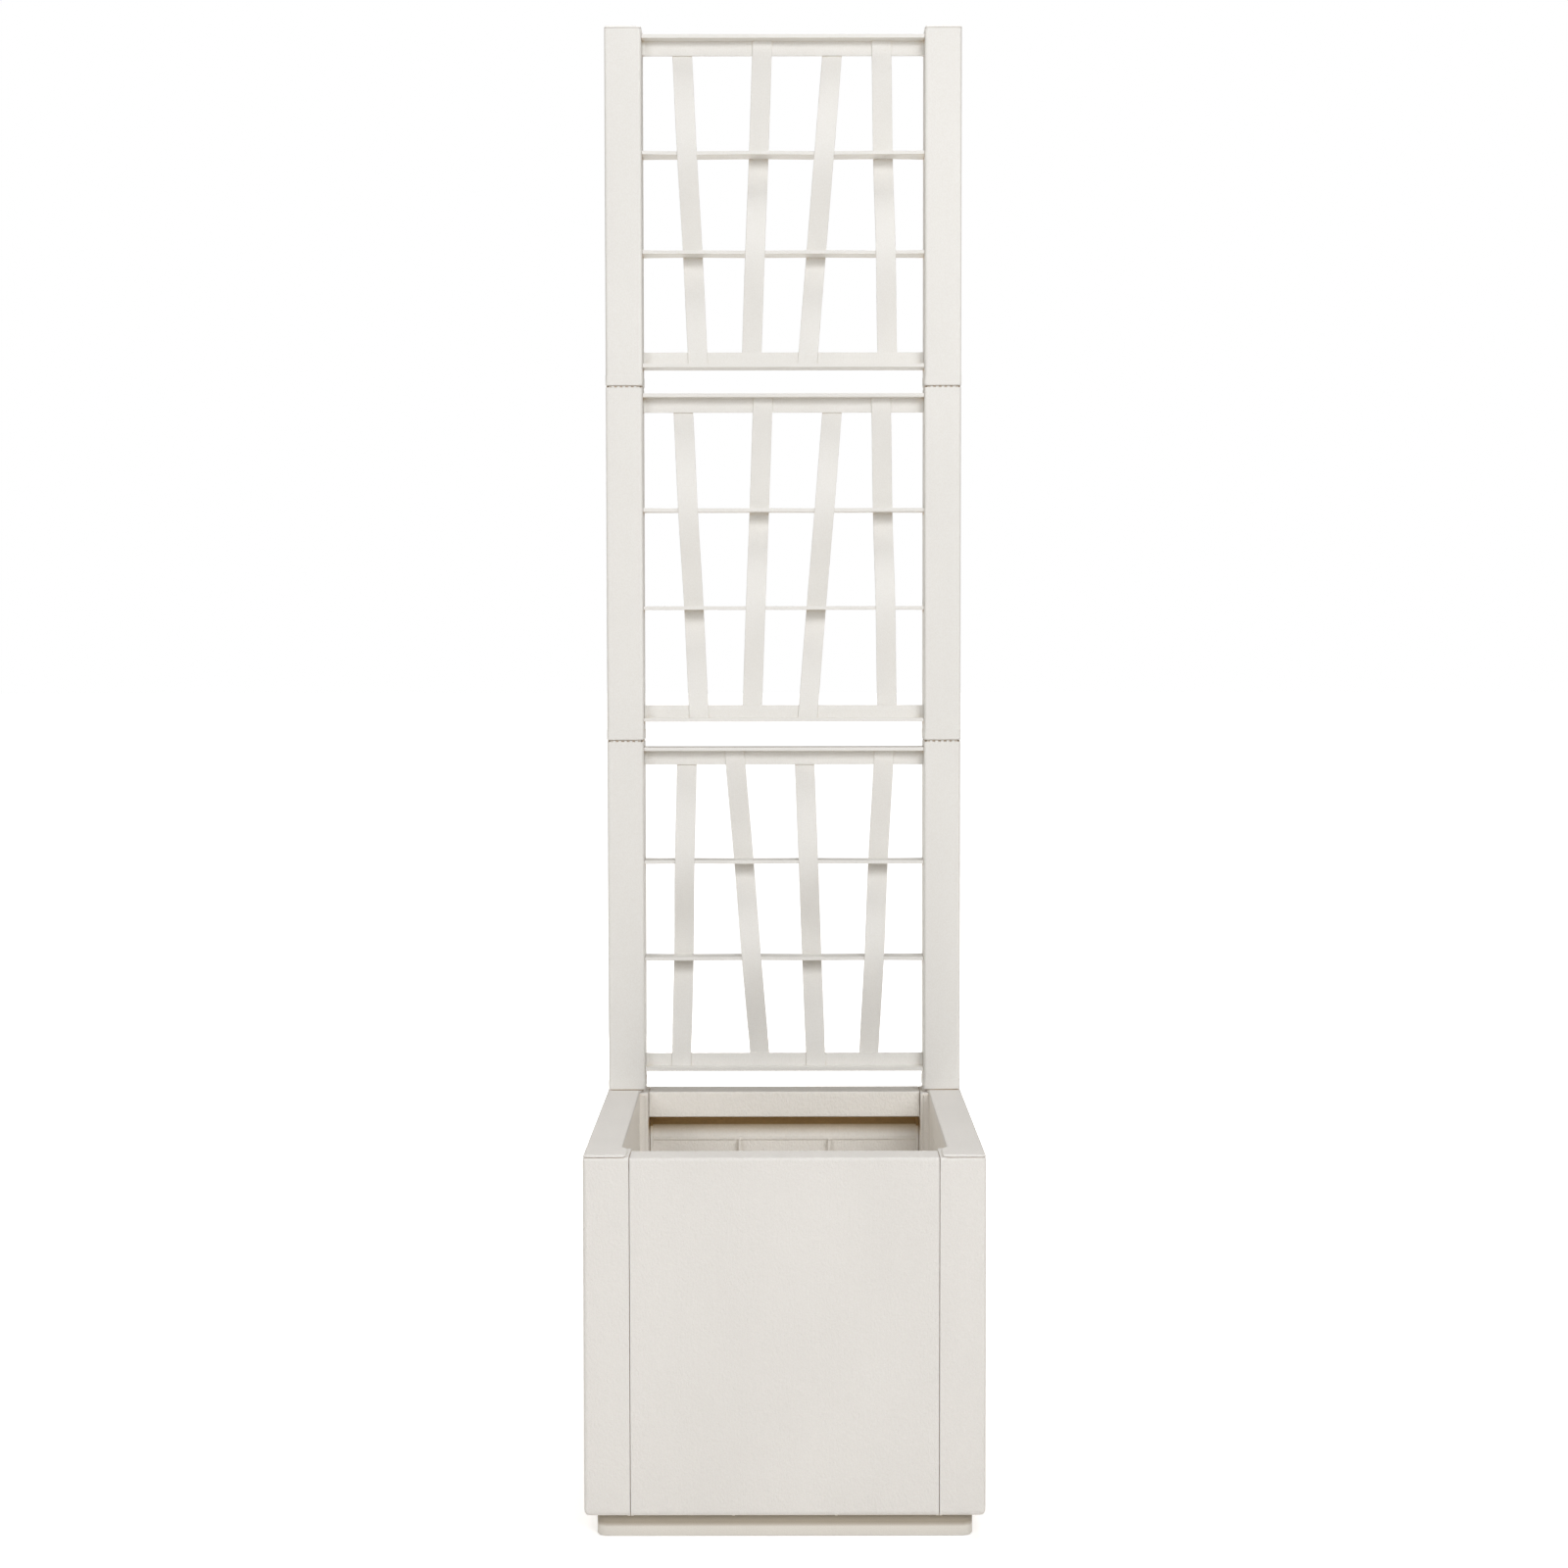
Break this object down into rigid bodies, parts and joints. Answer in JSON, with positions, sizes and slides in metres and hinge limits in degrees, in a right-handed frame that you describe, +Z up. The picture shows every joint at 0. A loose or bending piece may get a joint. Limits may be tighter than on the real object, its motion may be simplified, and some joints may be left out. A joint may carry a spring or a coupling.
{
  "type": "planter with trellis",
  "caption": "Square moulded floor planter box on a recessed plinth, with a tall stacked trellis of woven leaning laths between posts on its rear corners.",
  "frame": {"origin": "on the floor under the middle of the square box", "axes": "+Z up along the trellis; +X to the right of someone facing the planter; the front faces -Y and the trellis stands at the +Y side"},
  "size_m": [0.4, 0.4, 1.5768],
  "materials": {
    "box_resin": "matte off-white resin with a fine upright grain",
    "trellis_resin": "smooth matte off-white resin",
    "tray_resin": "matte off-white resin"
  },
  "bodies": {
    "root": {"base_tray": "tray_resin", "corner_post_front_left": "box_resin", "corner_post_front_right": "box_resin", "corner_post_rear_left": "box_resin", "corner_post_rear_right": "box_resin", "front_panel": "box_resin", "back_panel": "box_resin", "side_panel_left": "box_resin", "rim_cover_left": "box_resin", "side_panel_right": "box_resin", "rim_cover_right": "box_resin", "trellis_post_left_lower": "trellis_resin", "trellis_post_right_lower": "trellis_resin", "trellis_panel_lower": "trellis_resin", "trellis_post_left_middle": "trellis_resin", "trellis_post_right_middle": "trellis_resin", "trellis_panel_middle": "trellis_resin", "trellis_post_left_upper": "trellis_resin", "trellis_post_right_upper": "trellis_resin", "trellis_panel_upper": "trellis_resin", "post_cap_left": "trellis_resin", "post_cap_right": "trellis_resin"}
  },
  "joints": []
}
